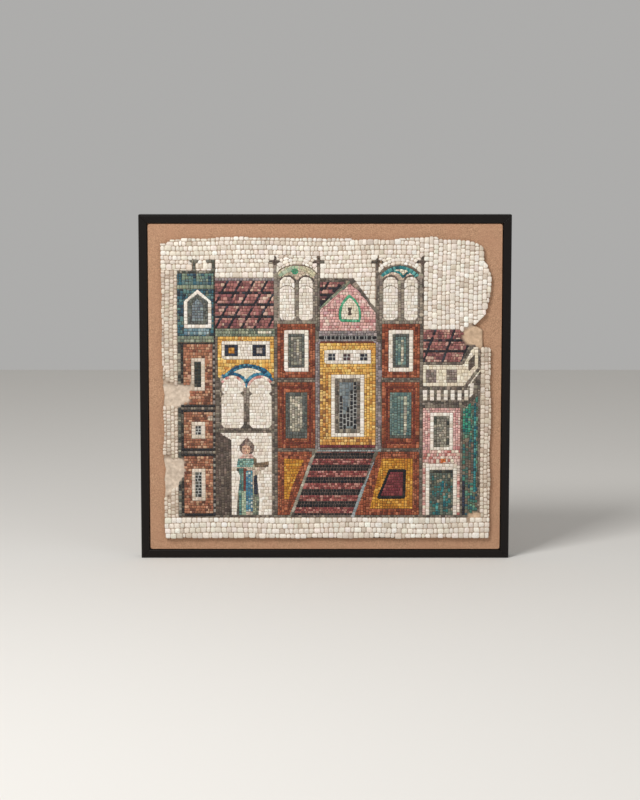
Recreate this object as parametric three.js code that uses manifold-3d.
import * as THREE from "three";
import { mergeVertices } from "three/addons/utils/BufferGeometryUtils.js";
import Module from "manifold-3d";

// A framed wall mosaic: a row of towers and houses in small stone cubes, set on a sanded slab.
// Sizes are in millimetres. The front faces -Y and the origin is at the middle of the flat back.
// The picture is laid out from the lower left corner of the frame, x to the right and z up.

// Frame
const railFace = 14.5;
const frameDepth = 32;
const outerBevel = 2.2;
const innerBevel = 0.8;
const mitreGap = 0.3;

// Slab that fills the frame
const slabFit = 0.3;
const slabRecess = 1.5;
const shadowGap = 1.5;
const shadowGapDepth = 6;
const slabCorner = 4;
const leftMargin = 23.5;
const rightMargin = 19.5;
const bottomMargin = 21.5;
const topMargin = 22.5;

// Layers of the mosaic
const seatGap = 0.3;
const bedThickness = 2.5;
const bedInset = 1.2;
const lossFill = 2.4;
const cubeDepth = 4.2;
const fieldGap = 0.3;
const courseJoint = 0.9;
const courseJointDepth = 1;
const whiteCourse = 8.4;
const whiteCoursesFused = 2;
const colourCourse = 5.2;
const colourCoursesFused = 3;

// White borders and sky
const leftBorder = 28;
const rightBorder = 18;
const baseBorder = 37;
const baseLine = 4;
const skyAbove = 33;
const tooth = 15;
const toothBite = 1.3;

// Places where the cubes are lost: the height of each one's middle above the line it is counted from
const lowerLossRise = 80;
const upperLossRise = 209;
const rightLossRise = 311;
const lowerLossHeight = 42;
const upperLossHeight = 36;
const rightLossHeight = 36;
const lowerLossReach = 10;
const upperLossShare = 0.78;
const rightLossReach = 30;
const lossBite = 1.8;

// Buildings from left to right, each with its storeys from the ground up
const leftTower = {
  width: 65,
  edgeLine: 10,
  farLine: 5,
  footLine: 3,
  lowerBrick: 100,
  lowerBand: 14,
  middleBrick: 63,
  upperBand: 13,
  upperBrick: 105,
  cornice: 14,
  blueWall: 108,
  capLine: 4,
  pinnacle: 19,
  pinnacleWidth: 5,
  pinnacleCap: 16,
  cheek: 2.5,
  windowWidth: 23,
  windowHeight: 56,
  dotWindowHeight: 29,
  arrowWidth: 47,
  arrowSill: 14,
  arrowShoulder: 46,
  arrowPoint: 20,
};
const arcadeHouse = {
  width: 101,
  pier: 10,
  upperPier: 4,
  farJamb: 4,
  column: 10,
  doorShade: 27,
  doorway: 144,
  sill: 8,
  arcade: 87,
  wall: 72,
  cornice: 14,
  roof: 82,
  ridge: 5,
  plaqueHeight: 31,
  plaqueInset: 7,
  plaqueDrop: 8,
  lunetteRise: 29,
  lunetteInset: 9,
  lunetteDrop: 4,
};
const bellTower = {
  brickWidth: 65,
  footZone: 111,
  footBand: 6,
  lowerBrick: 115,
  midBand: 8,
  upperBrick: 93,
  belfry: 86,
  openingSill: 6,
  openingHeight: 75,
  openingCorner: 5,
  lunetteRise: 16,
  lunetteThickness: 9,
  windowWidth: 42,
  windowHeight: 72,
  windowRing: 7,
  paneWidth: 37,
  paneHeight: 80,
  postWidth: 4.5,
  crossHeight: 31,
  crossArm: 21,
  crossArmDrop: 13,
  crossBar: 5,
};
const middleTower = {
  leftPier: 6,
  rightPier: 8,
  belfryLeft: 10,
  leftOpening: 26,
  midPier: 7,
  rightOpening: 24,
};
const rightTower = {
  leftPier: 11,
  rightPier: 6,
  belfryLeft: 13,
  leftOpening: 25,
  midPier: 11,
  rightOpening: 23,
};
const ramp = { inset: 11, drop: 12, foot: 11, rim: 22 };
const gabledHouse = {
  width: 96,
  wallFoot: 118,
  wall: 182,
  cornice: 21,
  eaves: 34,
  gable: 56,
  apexShift: 4,
  verge: 6,
  plaqueWidth: 80,
  plaqueHeight: 24,
  plaqueDrop: 12,
  doorWidth: 57,
  doorHeight: 108,
  doorSill: 19,
  doorRing: 7,
};
const stair = { width: 101, start: 6, lean: 40, string: 6 };
const rightHouse = {
  width: 65,
  sideWall: 34,
  wall: 192,
  balustrade: 33,
  attic: 37,
  eavesLine: 5,
  roof: 56,
  roofLean: 14,
  brokenCorner: 12,
  wingRise: 34,
  edgeLine: 4,
  windowWidth: 39,
  windowHeight: 65,
  windowDrop: 8,
  doorWidth: 54,
  doorHeight: 90,
};
const figureHeight = 136;
const arcSteps = 8;

const colours = {
  frame: 0x2a1d16,
  slab: 0xb98a68,
  plaster: 0xcbb4a0,
  white: 0xe9dfd0,
  grey: 0x8f857c,
  black: 0x33302f,
  blue: 0x34708f,
  brick: 0x8c4a33,
  purpleBrick: 0x8f5a48,
  rose: 0x9a5560,
  yellow: 0xd9a54c,
  ochre: 0xb97a2c,
  green: 0x9fb98a,
  teal: 0x1f7a86,
  pane: 0x8b928f,
  pink: 0xc98c92,
  cream: 0xe2d3b4,
  robe: 0x4f8f93,
  sideGreen: 0x3f6e60,
};

const wasm = await Module();
wasm.setup();

// Lines that the whole layout shares
const mosaicLeft = railFace + leftMargin;
const leftTowerX = mosaicLeft + leftBorder;
const arcadeX = leftTowerX + leftTower.width;
const middleTowerX = arcadeX + arcadeHouse.width;
const gableX = middleTowerX + middleTower.leftPier + bellTower.brickWidth + middleTower.rightPier;
const rightTowerX = gableX + gabledHouse.width;
const rightHouseX = rightTowerX + rightTower.leftPier + bellTower.brickWidth + rightTower.rightPier;
const sideWallX = rightHouseX + rightHouse.width;
const rightBorderX = sideWallX + rightHouse.sideWall;
const mosaicRight = rightBorderX + rightBorder;
const panelWidth = mosaicRight + rightMargin + railFace;

const mosaicBottom = railFace + bottomMargin;
const groundZ = mosaicBottom + baseBorder + baseLine;
const belfryZ = groundZ + bellTower.footZone + bellTower.footBand + bellTower.lowerBrick
  + bellTower.midBand + bellTower.upperBrick;
const belfryTopZ = belfryZ + bellTower.belfry;
const bluePartZ = groundZ + leftTower.footLine + leftTower.lowerBrick + leftTower.lowerBand
  + leftTower.middleBrick + leftTower.upperBand + leftTower.upperBrick;
const leftTowerTopZ = bluePartZ + leftTower.cornice + leftTower.blueWall + leftTower.capLine;
const arcadeZ = groundZ + arcadeHouse.doorway + arcadeHouse.sill;
const arcadeWallZ = arcadeZ + arcadeHouse.arcade;
const arcadeRoofZ = arcadeWallZ + arcadeHouse.wall + arcadeHouse.cornice;
const arcadeTopZ = arcadeRoofZ + arcadeHouse.roof + arcadeHouse.ridge;
const gableWallZ = groundZ + gabledHouse.wallFoot;
const gableZ = gableWallZ + gabledHouse.wall + gabledHouse.cornice;
const gableTopZ = gableZ + gabledHouse.eaves + gabledHouse.gable;
const balustradeZ = groundZ + rightHouse.wall;
const atticZ = balustradeZ + rightHouse.balustrade;
const rightRoofZ = atticZ + rightHouse.attic + rightHouse.eavesLine;
const rightHouseTopZ = rightRoofZ + rightHouse.roof;
const mosaicTop = Math.max(belfryTopZ + bellTower.crossHeight, leftTowerTopZ + leftTower.pinnacle,
  arcadeTopZ, gableTopZ, rightHouseTopZ) + skyAbove;
const panelHeight = mosaicTop + topMargin + railFace;

const slabFace = frameDepth - slabRecess;
const bedBack = slabFace + seatGap;
const bedFace = bedBack + bedThickness;
const fieldBack = bedFace + seatGap;
const fieldFace = fieldBack + cubeDepth;

// Solids and outlines
function toSolid(geometry) {
  geometry.deleteAttribute("normal");
  geometry.deleteAttribute("uv");
  const merged = mergeVertices(geometry, 1e-5);
  return new wasm.Manifold(new wasm.Mesh({
    numProp: 3,
    vertProperties: merged.attributes.position.array,
    triVerts: Uint32Array.from(merged.index.array),
  }));
}

function toGeometry(solid) {
  const { vertProperties, triVerts } = solid.getMesh();
  const geometry = new THREE.BufferGeometry();
  geometry.setAttribute("position", new THREE.BufferAttribute(vertProperties, 3));
  geometry.setIndex(new THREE.BufferAttribute(triVerts, 1));
  return geometry;
}

// A plate with an outline in x and z, from one depth to a larger one, measured forward from the back
function plate(points, back, front) {
  const shape = new THREE.Shape(points.map(([x, z]) => new THREE.Vector2(x, z)));
  const geometry = new THREE.ExtrudeGeometry(shape, { depth: front - back, bevelEnabled: false });
  geometry.rotateX(Math.PI / 2);
  geometry.translate(0, -back, 0);
  return toSolid(geometry);
}

function grow(points, distance) {
  const area = THREE.ShapeUtils.area(points.map(([x, y]) => ({ x, y })));
  const ring = area < 0 ? points.toReversed() : points;
  const normal = ([x0, z0], [x1, z1]) => {
    const length = Math.hypot(x1 - x0, z1 - z0);
    return [(z1 - z0) / length, (x0 - x1) / length];
  };
  return ring.map((here, i) => {
    const a = normal(ring.at(i - 1), here);
    const b = normal(here, ring[(i + 1) % ring.length]);
    const reach = distance / Math.max(1 + a[0] * b[0] + a[1] * b[1], 0.3);
    return [here[0] + (a[0] + b[0]) * reach, here[1] + (a[1] + b[1]) * reach];
  });
}

function box(x0, z0, x1, z1) {
  return [[x0, z0], [x1, z0], [x1, z1], [x0, z1]];
}

// Points along part of an ellipse, angles in half turns from +x
function arc(x, z, radiusX, radiusZ, from, to) {
  return Array.from({ length: arcSteps + 1 }, (_, i) => {
    const angle = Math.PI * (from + (to - from) * i / arcSteps);
    return [x + radiusX * Math.cos(angle), z + radiusZ * Math.sin(angle)];
  });
}

function makeRandom(seed) {
  let state = seed;
  return () => {
    state = (state * 16807) % 2147483647;
    return state / 2147483647;
  };
}

// A broken edge: the line is stepped at about a cube's size and pushed in and out
function ragged(points, bite, seed) {
  const random = makeRandom(seed);
  return points.flatMap(([x0, z0], i) => {
    const [x1, z1] = points[(i + 1) % points.length];
    const length = Math.hypot(x1 - x0, z1 - z0);
    const steps = Math.max(1, Math.round(length / tooth));
    return Array.from({ length: steps }, (_, k) => {
      const share = k === 0 ? 0 : (k + 0.3 * (random() - 0.5)) / steps;
      const push = k === 0 ? 0 : bite * (2 * random() - 1);
      return [
        x0 + (x1 - x0) * share + (z1 - z0) / length * push,
        z0 + (z1 - z0) * share - (x1 - x0) / length * push,
      ];
    });
  });
}

// Edges of the mosaic. The sky's broken right edge is given in shares of the sky's height.
const towerMidX = leftTowerX + leftTower.width / 2;
const lowerLossZ = groundZ + lowerLossRise;
const upperLossZ = groundZ + upperLossRise;
const rightLossZ = groundZ + rightLossRise;
const rightBorderTopZ = rightLossZ - rightLossHeight / 2;
const brickWidth = leftTower.width - leftTower.edgeLine - leftTower.farLine;
const upperLossReach = leftTower.edgeLine + (brickWidth - leftTower.windowWidth) / 2 * upperLossShare;
const skyZ = (share) => rightHouseTopZ + share * (mosaicTop - rightHouseTopZ);
const mosaicOutline = ragged([
  [mosaicLeft + 6, mosaicBottom],
  [mosaicRight - 2, mosaicBottom],
  [mosaicRight, mosaicBottom + baseBorder * 0.6],
  [mosaicRight, rightBorderTopZ - 4],
  [mosaicRight - 5, rightBorderTopZ],
  [rightBorderX + 4, rightBorderTopZ],
  [rightBorderX + 3, skyZ(0)],
  [rightBorderX - 13, skyZ(0.05)],
  [rightBorderX + 6, skyZ(0.15)],
  [mosaicRight - 4, skyZ(0.33)],
  [mosaicRight, skyZ(0.55)],
  [mosaicRight - 13, skyZ(0.74)],
  [rightBorderX + 2, skyZ(0.89)],
  [sideWallX + 10, mosaicTop - 7],
  [sideWallX - 26, mosaicTop - 5],
  [sideWallX - 32, mosaicTop - 7],
  [rightHouseX + 17, mosaicTop],
  [rightTowerX + 13, mosaicTop - 6],
  [gableX - 3, mosaicTop - 3],
  [arcadeX + 30, mosaicTop - 1],
  [mosaicLeft + 17, mosaicTop - 5],
  [mosaicLeft + 15, mosaicTop - 12],
  [mosaicLeft - 1, mosaicTop - 12],
  [mosaicLeft, leftTowerTopZ - 11],
  [mosaicLeft + 2, upperLossZ + upperLossHeight / 2],
  [mosaicLeft + 5, upperLossZ],
  [mosaicLeft + 3, upperLossZ - upperLossHeight / 2],
  [mosaicLeft + 2, lowerLossZ + lowerLossHeight / 2],
  [mosaicLeft + 6, lowerLossZ],
  [mosaicLeft + 3, lowerLossZ - lowerLossHeight / 2],
  [mosaicLeft + 3, mosaicBottom + baseBorder / 2],
], toothBite, 7);

// A loss is given by its middle, its half height and how far it bites past the line at baseX
function lossOutline(baseX, side, z, height, reach, seed) {
  const edge = side * (leftBorder + 4);
  return ragged([
    [edge, -0.5], [side * 6, -0.46], [0, -0.52], [-side * reach * 0.8, -0.3], [-side * reach, 0],
    [-side * reach * 0.95, 0.25], [-side * reach * 0.3, 0.5], [side * 6, 0.46], [edge, 0.5],
  ].map(([x, share]) => [baseX + x, z + share * height]), lossBite, seed);
}

const losses = [
  lossOutline(leftTowerX, -1, lowerLossZ, lowerLossHeight, lowerLossReach, 11),
  lossOutline(leftTowerX, -1, upperLossZ, upperLossHeight, upperLossReach, 13),
  lossOutline(rightBorderX, 1, rightLossZ, rightLossHeight, rightLossReach, 17),
];

// The fields in drawing order. Each is cut back by all that are drawn after it.
const fields = [];

function field(name, colour, ...outlines) {
  fields.push({ name, colour, outlines });
}

// A broad area, scored along the level joints of its fused courses
function coursedField(name, colour, outline) {
  fields.push({ name, colour, outlines: [outline], course: colourCourse * colourCoursesFused });
}

function whiteField(name, outline) {
  const course = whiteCourse * whiteCoursesFused;
  fields.push({ name, colour: colours.white, outlines: [outline], course, clip: true });
}

function drawWhiteGround() {
  const houseMidX = rightHouseX + rightHouse.width / 2;
  whiteField("white_sky", [
    [0, upperLossZ],
    [towerMidX, upperLossZ],
    [houseMidX, balustradeZ],
    [houseMidX, rightLossZ],
    [panelWidth, rightLossZ],
    [panelWidth, panelHeight],
    [0, panelHeight],
  ]);
  whiteField("white_left_border", box(0, lowerLossZ, towerMidX, upperLossZ));
  whiteField("white_base_border", [
    [0, 0],
    [panelWidth, 0],
    [panelWidth, rightLossZ],
    [houseMidX, rightLossZ],
    [houseMidX, groundZ + fieldGap],
    [towerMidX, groundZ + fieldGap],
    [towerMidX, lowerLossZ],
    [0, lowerLossZ],
  ]);
}

function belfryOpening(x0, x1) {
  const corner = bellTower.openingCorner;
  const sill = belfryZ + bellTower.openingSill;
  const radius = (x1 - x0) / 2;
  const spring = sill + bellTower.openingHeight - radius;
  return [
    [x0, sill + corner],
    [x0 + corner, sill],
    [x1 - corner, sill],
    [x1, sill + corner],
    ...arc(x0 + radius, spring, radius, radius, 0, 1),
  ];
}

function cross(x) {
  const top = belfryTopZ + bellTower.crossHeight;
  const barZ = top - bellTower.crossArmDrop;
  const foot = belfryTopZ - bellTower.crossBar;
  return [
    box(x - bellTower.postWidth / 2, foot, x + bellTower.postWidth / 2, top),
    box(x - bellTower.crossArm / 2, barZ, x + bellTower.crossArm / 2, barZ + bellTower.crossBar),
  ];
}

function lunetteOutline(x, halfWidth, rise, thickness) {
  const z = belfryTopZ - 2;
  return [
    ...arc(x, z, halfWidth, rise, 0, 1),
    ...arc(x, z - thickness / 2, halfWidth - thickness, rise - thickness / 2, 1, 0),
  ];
}

function towerWidth(tower) {
  return tower.leftPier + bellTower.brickWidth + tower.rightPier;
}

// The grey line work of both bell towers, the two middle houses and the right house
function drawPiers() {
  const outlines = [
    box(leftTowerX, groundZ - baseLine, sideWallX + rightHouse.sideWall / 2, groundZ + fieldGap),
    box(arcadeX, groundZ, middleTowerX + middleTower.leftPier, arcadeTopZ),
    [
      [gableX - middleTower.rightPier, groundZ],
      [rightTowerX + rightTower.leftPier, groundZ],
      [rightTowerX + rightTower.leftPier, gableZ + gabledHouse.eaves],
      [rightTowerX + gabledHouse.verge / 2, gableZ + gabledHouse.eaves],
      [gableX + gabledHouse.width / 2 + gabledHouse.apexShift + gabledHouse.verge, gableTopZ],
      [gableX - middleTower.rightPier, gableTopZ],
    ],
    [
      [rightHouseX - rightTower.rightPier, groundZ],
      [rightBorderX, groundZ],
      [rightBorderX, rightBorderTopZ + 2],
      [sideWallX + rightHouse.roofLean, rightLossZ],
      [sideWallX, rightHouseTopZ],
      [rightHouseX - rightTower.rightPier, rightHouseTopZ],
    ],
  ];
  for (const [x, tower] of [[middleTowerX, middleTower], [rightTowerX, rightTower]]) {
    const width = towerWidth(tower);
    const halfWidth = (width - bellTower.postWidth * 2) / 2;
    outlines.push(box(x, groundZ, x + width, belfryTopZ));
    outlines.push(arc(x + width / 2, belfryTopZ - 2, halfWidth, bellTower.lunetteRise + 2, 0, 1));
    outlines.push(...cross(x + bellTower.postWidth / 2));
    outlines.push(...cross(x + width - bellTower.postWidth / 2));
  }
  field("grey_piers_and_bands", colours.grey, ...outlines);
}

function drawLeftTower() {
  const t = leftTower;
  const x0 = leftTowerX;
  const x1 = leftTowerX + t.width;
  const brickX0 = x0 + t.edgeLine;
  const brickX1 = x1 - t.farLine;
  const midX = (brickX0 + brickX1) / 2;
  const posts = [x0 + t.width * 0.45, x1 - t.pinnacleWidth / 2];
  const lines = [box(x0, groundZ - baseLine / 2, x1 - fieldGap, leftTowerTopZ)];
  for (const x of posts) {
    const capZ = leftTowerTopZ + t.pinnacle;
    const capX = Math.min(x - t.pinnacleCap / 2, x1 - t.pinnacleCap);
    lines.push(box(x - t.pinnacleWidth / 2, leftTowerTopZ - t.capLine, x + t.pinnacleWidth / 2, capZ));
    lines.push(box(capX, capZ - t.pinnacleWidth, capX + t.pinnacleCap, capZ));
  }
  field("left_tower_lines", colours.black, ...lines);

  const wallZ = bluePartZ + t.cornice;
  coursedField("left_tower_blue_wall", colours.blue,
    box(x0, bluePartZ + t.footLine, x1 - t.cheek, wallZ + t.blueWall));
  const arrowZ = wallZ + t.arrowSill;
  field("left_tower_pointed_window", colours.pane, [
    [midX - t.arrowWidth / 2, arrowZ],
    [midX + t.arrowWidth / 2, arrowZ],
    [midX + t.arrowWidth / 2, arrowZ + t.arrowShoulder],
    [midX, arrowZ + t.arrowShoulder + t.arrowPoint],
    [midX - t.arrowWidth / 2, arrowZ + t.arrowShoulder],
  ]);

  let z = groundZ + t.footLine;
  for (const [storey, height, band, windowHeight] of [
    ["lower", t.lowerBrick, t.lowerBand, t.windowHeight],
    ["middle", t.middleBrick, t.upperBand, t.dotWindowHeight],
    ["upper", t.upperBrick, 0, t.windowHeight],
  ]) {
    const windowZ = z + (height - windowHeight) / 2;
    const windowX = midX - t.windowWidth / 2;
    coursedField(`left_tower_brick_${storey}`, colours.purpleBrick, box(brickX0, z, brickX1, z + height));
    field(`left_tower_window_${storey}`, colours.white,
      box(windowX, windowZ, windowX + t.windowWidth, windowZ + windowHeight));
    z += height + band;
  }
}

function drawArcadeHouse() {
  const h = arcadeHouse;
  const x0 = arcadeX;
  const x1 = arcadeX + h.width;
  const openingX0 = x0 + h.pier;
  const openingX1 = x1 - h.farJamb;
  const midX = (openingX0 + openingX1) / 2;
  const wallX = x0 + h.upperPier;
  const wallTop = arcadeWallZ + h.wall;
  coursedField("arcade_house_roof", colours.rose, box(x0, arcadeRoofZ, x1, arcadeRoofZ + h.roof));
  coursedField("arcade_house_wall", colours.yellow, box(wallX, arcadeWallZ, x1, wallTop));
  field("arcade_house_plaque", colours.white, box(wallX + h.plaqueInset,
    wallTop - h.plaqueDrop - h.plaqueHeight, x1 - h.plaqueInset, wallTop - h.plaqueDrop));
  field("arcade_house_lunette", colours.teal, [
    ...arc(midX, arcadeWallZ - h.lunetteDrop, (x1 - x0) / 2 - h.lunetteInset / 2, h.lunetteRise, 0, 1),
    [midX - h.column / 2, arcadeZ + h.arcade / 2],
    [midX + h.column / 2, arcadeZ + h.arcade / 2],
  ]);
  for (const [side, left, right] of [
    ["left", openingX0, midX - h.column / 2],
    ["right", midX + h.column / 2, openingX1],
  ]) {
    const radius = (right - left) / 2;
    const corner = radius / 2;
    field(`arcade_opening_${side}`, colours.white, [
      ...arc(left + corner, arcadeZ + corner, corner, corner, 1, 1.5),
      ...arc(right - corner, arcadeZ + corner, corner, corner, 1.5, 2),
      ...arc(left + radius, arcadeWallZ - radius, radius, radius, 0, 1),
    ]);
  }
  field("doorway_ground", colours.white, box(x0 + h.doorShade, groundZ, openingX1, groundZ + h.doorway));
  field("doorway_figure", colours.robe, figureOutline(x0 + h.width * 0.54, groundZ, figureHeight));
}

// A robed figure with a peaked hat and a dish in one hand, in shares of its own height
function figureOutline(x, z, height) {
  return [
    [-0.14, 0], [0.14, 0], [0.15, 0.2], [0.12, 0.45], [0.13, 0.55], [0.27, 0.63], [0.27, 0.69],
    [0.12, 0.67], [0.12, 0.72], [0.05, 0.77], [0.08, 0.82], [0.09, 0.9], [0, 1], [-0.1, 0.9],
    [-0.09, 0.82], [-0.05, 0.77], [-0.12, 0.72], [-0.14, 0.6], [-0.09, 0.5], [-0.12, 0.25],
  ].map(([u, v]) => [x + u * height, z + v * height]);
}

function drawBellTower(name, x0, tower, glass) {
  const t = bellTower;
  const brickX0 = x0 + tower.leftPier;
  const brickX1 = brickX0 + t.brickWidth;
  const midX = (brickX0 + brickX1) / 2;
  const lowerZ = groundZ + t.footZone + t.footBand;
  const upperZ = lowerZ + t.lowerBrick + t.midBand;
  const paneZ = lowerZ + (t.lowerBrick - t.paneHeight) / 2;
  const windowZ = upperZ + (t.upperBrick - t.windowHeight) / 2;
  const width = towerWidth(tower);
  const openingX = x0 + tower.belfryLeft;
  const secondX = openingX + tower.leftOpening + tower.midPier;
  coursedField(`${name}_brick_lower`, colours.brick, box(brickX0, lowerZ, brickX1, lowerZ + t.lowerBrick));
  field(`${name}_pane_lower`, colours.pane,
    box(midX - t.paneWidth / 2, paneZ, midX + t.paneWidth / 2, paneZ + t.paneHeight));
  coursedField(`${name}_brick_upper`, colours.brick, box(brickX0, upperZ, brickX1, upperZ + t.upperBrick));
  field(`${name}_window_upper`, colours.white,
    box(midX - t.windowWidth / 2, windowZ, midX + t.windowWidth / 2, windowZ + t.windowHeight));
  const paneHalf = t.windowWidth / 2 - t.windowRing;
  field(`${name}_pane_upper`, colours.pane, box(midX - paneHalf, windowZ + t.windowRing,
    midX + paneHalf, windowZ + t.windowHeight - t.windowRing));
  field(`${name}_lunette`, glass,
    lunetteOutline(x0 + width / 2, width / 2 - t.postWidth * 1.5, t.lunetteRise, t.lunetteThickness));
  field(`${name}_opening_left`, colours.white, belfryOpening(openingX, openingX + tower.leftOpening));
  field(`${name}_opening_right`, colours.white, belfryOpening(secondX, secondX + tower.rightOpening));
}

function drawGabledHouse() {
  const h = gabledHouse;
  const x0 = gableX;
  const x1 = gableX + h.width;
  const midX = (x0 + x1) / 2;
  const apexX = midX + h.apexShift;
  const eavesZ = gableZ + h.eaves;
  const wallTop = gableWallZ + h.wall;
  coursedField("gabled_house_roof", colours.rose, [
    [x0, eavesZ + h.verge],
    [apexX - h.verge * 1.5, gableTopZ - h.verge],
    [x0, gableTopZ - h.verge],
  ]);
  coursedField("gabled_house_gable", colours.pink, [
    [x0, gableZ],
    [x1, gableZ],
    [x1, eavesZ - h.verge / 2],
    [apexX, gableTopZ - h.verge * 1.5],
    [x0, eavesZ - h.verge / 2],
  ]);
  coursedField("gabled_house_wall", colours.yellow, box(x0, gableWallZ, x1, wallTop));
  field("gabled_house_plaque", colours.white, box(midX - h.plaqueWidth / 2,
    wallTop - h.plaqueDrop - h.plaqueHeight, midX + h.plaqueWidth / 2, wallTop - h.plaqueDrop));
  const doorZ = gableWallZ + h.doorSill;
  field("gabled_house_door_surround", colours.white,
    box(midX - h.doorWidth / 2, doorZ, midX + h.doorWidth / 2, doorZ + h.doorHeight));
  field("gabled_house_door_panel", colours.pane, box(midX - h.doorWidth / 2 + h.doorRing,
    doorZ + h.doorRing, midX + h.doorWidth / 2 - h.doorRing, doorZ + h.doorHeight - h.doorRing));
}

// The stair climbs to the right between two ramps
function drawStairAndRamps() {
  const top = groundZ + bellTower.footZone;
  const stairX = gableX - stair.start;
  const footX = stairX - stair.lean;
  const leftX = middleTowerX + middleTower.leftPier;
  const rightX = rightTowerX + rightTower.leftPier + bellTower.brickWidth;
  coursedField("left_ramp", colours.ochre, [
    [leftX, groundZ],
    [footX - stair.string, groundZ],
    [stairX - stair.string, top],
    [leftX, top],
  ]);
  coursedField("stair_flight", colours.rose, [
    [footX, groundZ],
    [footX + stair.width, groundZ],
    [stairX + stair.width, top],
    [stairX, top],
  ]);
  const slopeX = footX + stair.width + stair.string;
  coursedField("right_ramp", colours.brick, [
    [slopeX, groundZ],
    [rightX, groundZ],
    [rightX, top],
    [slopeX + stair.lean, top],
  ]);
  const panelFoot = groundZ + ramp.foot;
  const panelTop = top - ramp.drop;
  const slope = stair.lean / bellTower.footZone;
  field("right_ramp_panel", colours.ochre, [
    [slopeX + ramp.rim + (panelFoot - groundZ) * slope, panelFoot],
    [rightX - ramp.inset, panelFoot],
    [rightX - ramp.inset, panelTop],
    [slopeX + ramp.inset + (panelTop - groundZ) * slope, panelTop],
  ]);
}

function drawRightHouse() {
  const h = rightHouse;
  const x0 = rightHouseX;
  const x1 = sideWallX;
  const edgeX = rightBorderX - h.edgeLine;
  const midX = (x0 + x1) / 2;
  coursedField("right_house_wall", colours.pink, box(x0, groundZ, x1, balustradeZ - h.eavesLine));
  const windowTop = balustradeZ - h.eavesLine - h.windowDrop;
  field("right_house_window", colours.pane,
    box(midX - h.windowWidth / 2, windowTop - h.windowHeight, midX + h.windowWidth / 2, windowTop));
  field("right_house_door", colours.sideGreen,
    box(midX - h.doorWidth / 2, groundZ, midX + h.doorWidth / 2, groundZ + h.doorHeight));
  coursedField("right_house_side_wall", colours.sideGreen, [
    [x1 + h.edgeLine, groundZ],
    [edgeX, groundZ],
    [edgeX, balustradeZ + h.balustrade / 2],
    [x1 + h.edgeLine * 2, balustradeZ - h.eavesLine],
    [x1 + h.edgeLine, balustradeZ - h.eavesLine],
  ]);
  field("right_house_attic", colours.cream, [
    [x0, atticZ],
    [x1 + h.edgeLine * 2, atticZ],
    [edgeX, atticZ + h.wingRise],
    [edgeX, rightBorderTopZ],
    [edgeX - h.edgeLine * 2, rightBorderTopZ],
    [x1 + h.edgeLine, atticZ + h.attic],
    [x0, atticZ + h.attic],
  ]);
  coursedField("right_house_roof", colours.rose, [
    [x0, rightRoofZ],
    [x1, rightRoofZ],
    [x1 + h.roofLean, rightHouseTopZ - h.roof / 2],
    [x1 + h.roofLean, rightHouseTopZ - h.brokenCorner],
    [x1, rightHouseTopZ],
    [x0, rightHouseTopZ],
  ]);
}

// A comb whose teeth score the level joints between the courses
function courseComb(solid, course) {
  const { min, max } = solid.boundingBox();
  const rows = Math.max(1, Math.round((max[2] - min[2]) / course));
  const pitch = (max[2] - min[2]) / rows;
  const front = fieldFace + 2;
  const profile = [[min[2] - 1, front], [max[2] + 1, front]];
  for (let row = rows - 1; row > 0; row -= 1) {
    const z = min[2] + row * pitch;
    profile.push([z + courseJoint / 2, fieldFace + 1]);
    profile.push([z + courseJoint / 2, fieldFace - courseJointDepth]);
    profile.push([z - courseJoint / 2, fieldFace - courseJointDepth]);
    profile.push([z - courseJoint / 2, fieldFace + 1]);
  }
  const shape = new THREE.Shape(profile.map(([z, depth]) => new THREE.Vector2(-depth, z)));
  const length = max[0] - min[0] + 2;
  const geometry = new THREE.ExtrudeGeometry(shape, { depth: length, bevelEnabled: false });
  geometry.applyMatrix4(new THREE.Matrix4().set(
    0, 0, 1, min[0] - 1,
    1, 0, 0, 0,
    0, 1, 0, 0,
    0, 0, 0, 1,
  ));
  return toSolid(geometry);
}

const panel = new THREE.Group();
panel.name = "mosaic_panel";
panel.position.set(-panelWidth / 2, 0, -panelHeight / 2);

function addMesh(name, geometry, colour, roughness) {
  const material = new THREE.MeshStandardMaterial({ color: colour, roughness, metalness: 0 });
  const mesh = new THREE.Mesh(geometry, material);
  mesh.name = name;
  panel.add(mesh);
  return mesh;
}

function addFields() {
  const outline = plate(mosaicOutline, fieldBack, fieldFace);
  const cutter = (points) => plate(grow(points, fieldGap), fieldBack - 1, fieldFace + 1);
  let covered = wasm.Manifold.union(losses.map(cutter));
  for (const { name, colour, outlines, course, clip } of fields.toReversed()) {
    let solid = wasm.Manifold.union(outlines.map((points) => plate(points, fieldBack, fieldFace)));
    if (clip) {
      solid = solid.intersect(outline);
    }
    solid = solid.subtract(covered);
    covered = covered.add(wasm.Manifold.union(outlines.map(cutter)));
    if (course) {
      solid = solid.subtract(courseComb(solid, course));
    }
    addMesh(name, toGeometry(solid), colour, 0.55);
  }
}

function addBed() {
  const pads = losses.map((points) => plate(points, bedBack, bedFace + lossFill));
  const outline = plate(mosaicOutline, bedBack, bedFace + lossFill);
  const bed = plate(grow(mosaicOutline, -bedInset), bedBack, bedFace);
  const filled = wasm.Manifold.union(pads).intersect(outline);
  addMesh("setting_bed", toGeometry(bed.add(filled)), colours.plaster, 0.9);
}

function roundedBox(x0, z0, x1, z1, radius) {
  return [
    ...arc(x1 - radius, z0 + radius, radius, radius, 1.5, 2),
    ...arc(x1 - radius, z1 - radius, radius, radius, 0, 0.5),
    ...arc(x0 + radius, z1 - radius, radius, radius, 0.5, 1),
    ...arc(x0 + radius, z0 + radius, radius, radius, 1, 1.5),
  ];
}

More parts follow.
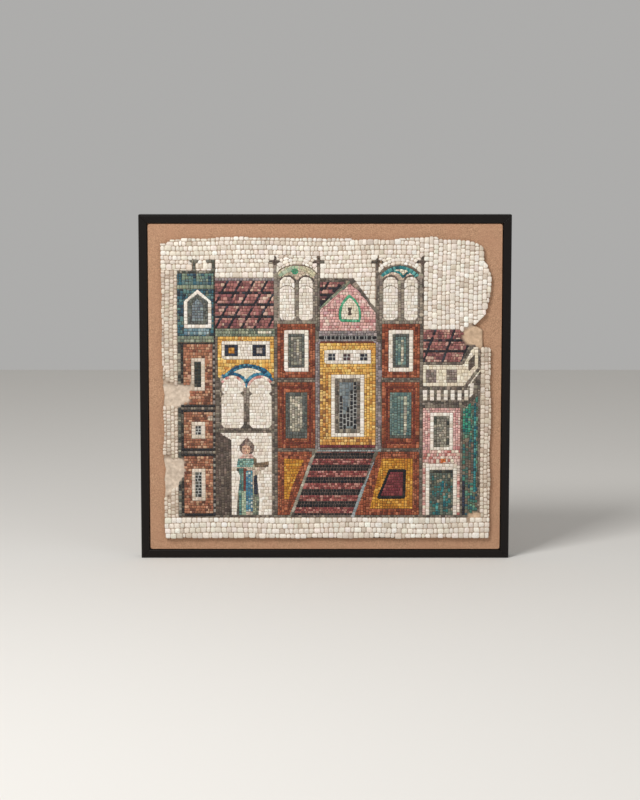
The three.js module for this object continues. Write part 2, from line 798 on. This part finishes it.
function addSlab() {
  const edge = railFace + slabFit;
  const faceEdge = railFace + shadowGap;
  const core = box(edge, edge, panelWidth - edge, panelHeight - edge);
  const face = roundedBox(faceEdge, faceEdge, panelWidth - faceEdge, panelHeight - faceEdge, slabCorner);
  const stepY = slabFace - shadowGapDepth;
  const slab = plate(core, 0, stepY).add(plate(face, stepY - 1, slabFace));
  addMesh("ground_slab", toGeometry(slab), colours.slab, 0.95);
}

// One rail with mitred ends, along +x with its outer edge down at z = 0
function railGeometry(length) {
  const face = new THREE.Shape([
    new THREE.Vector2(0, 0),
    new THREE.Vector2(railFace, 0),
    new THREE.Vector2(railFace, frameDepth - innerBevel),
    new THREE.Vector2(railFace - innerBevel, frameDepth),
    new THREE.Vector2(outerBevel, frameDepth),
    new THREE.Vector2(0, frameDepth - outerBevel),
  ]);
  const geometry = new THREE.ExtrudeGeometry(face, { depth: 1, bevelEnabled: false });
  const position = geometry.attributes.position;
  const endGap = mitreGap * Math.SQRT1_2;
  for (let i = 0; i < position.count; i += 1) {
    const inward = position.getX(i);
    const depth = position.getY(i);
    const end = position.getZ(i) < 0.5 ? inward + endGap : length - inward - endGap;
    position.setXYZ(i, end, -depth, inward);
  }
  return toGeometry(toSolid(geometry));
}

function addFrame() {
  for (const [name, length, turn, x, z] of [
    ["frame_rail_bottom", panelWidth, 0, 0, 0],
    ["frame_rail_right", panelHeight, -0.5, panelWidth, 0],
    ["frame_rail_top", panelWidth, 1, panelWidth, panelHeight],
    ["frame_rail_left", panelHeight, 0.5, 0, panelHeight],
  ]) {
    const rail = addMesh(name, railGeometry(length), colours.frame, 0.45);
    rail.rotation.y = turn * Math.PI;
    rail.position.set(x, 0, z);
  }
}

drawWhiteGround();
drawPiers();
drawLeftTower();
drawArcadeHouse();
drawBellTower("middle_tower", middleTowerX, middleTower, colours.green);
drawBellTower("right_tower", rightTowerX, rightTower, colours.teal);
drawGabledHouse();
drawStairAndRamps();
drawRightHouse();
addFrame();
addSlab();
addBed();
addFields();

export default panel;
